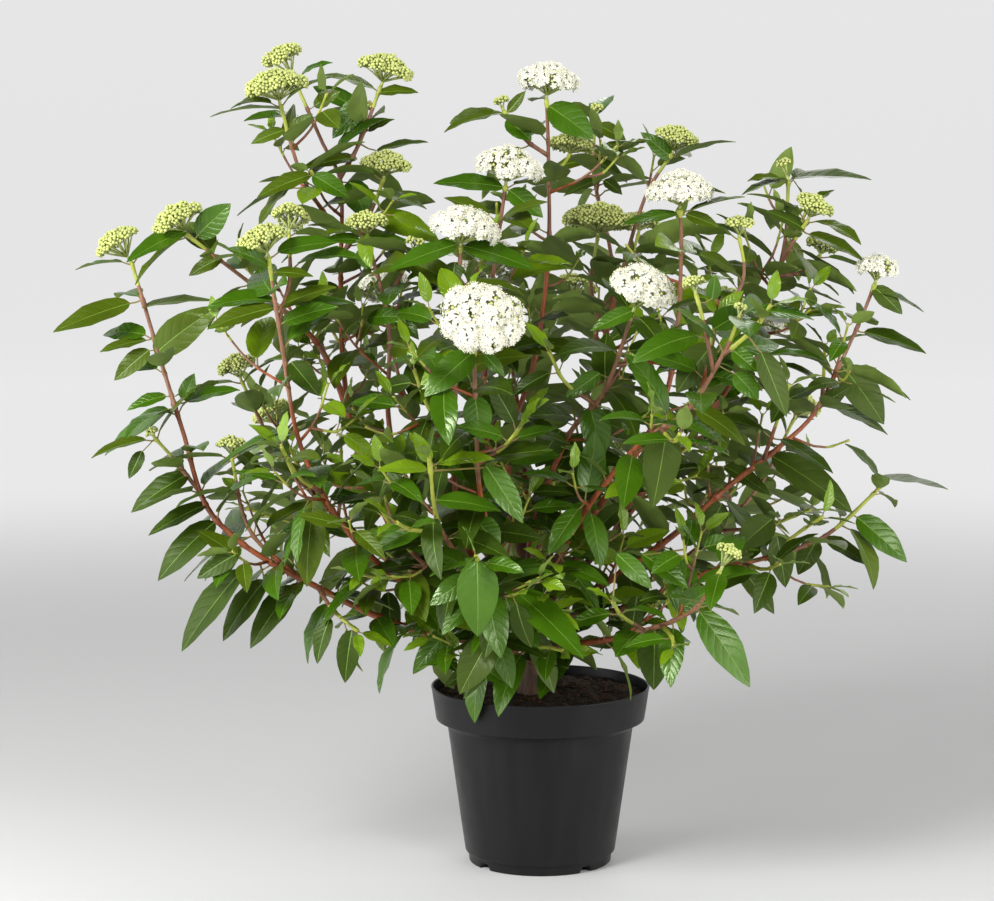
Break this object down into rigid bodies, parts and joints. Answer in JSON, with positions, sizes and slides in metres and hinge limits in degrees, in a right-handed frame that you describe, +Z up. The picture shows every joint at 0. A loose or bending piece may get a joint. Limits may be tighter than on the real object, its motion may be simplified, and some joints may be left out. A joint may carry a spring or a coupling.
{
  "type": "potted laurustinus",
  "caption": "Evergreen laurustinus shrub with upright branching stems, opposite pointed leaves and flat clusters of white flowers and green buds, in a round nursery pot.",
  "frame": {"origin": "middle of the pot's flat underside", "axes": "+Z up along the pot's axis, -Y towards the plant's front, +X to the right as seen from the front"},
  "size_m": [0.8845, 0.6706, 0.8402],
  "materials": {
    "pot": "satin",
    "compost": "matte",
    "bark": "satin",
    "foliage": "satin"
  },
  "bodies": {
    "root": {"back_centre": "foliage", "back_centre_bough": "bark", "back_left": "foliage", "back_left_bough": "bark", "back_low": "foliage", "back_low_bough": "bark", "back_low_left": "foliage", "back_low_left_bough": "bark", "back_low_right": "foliage", "back_low_right_bough": "bark", "back_mid": "foliage", "back_mid_bough": "bark", "back_right": "foliage", "back_right_bough": "bark", "centre_front": "foliage", "centre_front_bough": "bark", "centre_left": "foliage", "centre_left_bough": "bark", "centre_mid": "foliage", "centre_mid_bough": "bark", "centre_top": "foliage", "centre_top_bough": "bark", "front_low": "foliage", "front_low_droop": "foliage", "front_low_left": "foliage", "front_low_left_bough": "bark", "inner_left": "foliage", "inner_left_bough": "bark", "left_back": "foliage", "left_back_bough": "bark", "left_low": "foliage", "left_low_bough": "bark", "left_mid": "foliage", "left_mid_bough": "bark", "left_upper": "foliage", "left_upper_bough": "bark", "mid_left_front": "foliage", "mid_left_front_bough": "bark", "pot": "pot", "right_back": "foliage", "right_back_bough": "bark", "right_far": "foliage", "right_far_bough": "bark", "right_front": "foliage", "right_front_bough": "bark", "right_low": "foliage", "right_low_bough": "bark", "right_low_front": "foliage", "right_low_front_bough": "bark", "right_mid": "foliage", "right_mid_bough": "bark", "right_top_back": "foliage", "right_top_back_bough": "bark", "right_upper": "foliage", "right_upper_bough": "bark", "soil": "compost", "top_left": "foliage", "top_left_bough": "bark", "trunk": "bark"}
  },
  "joints": []
}
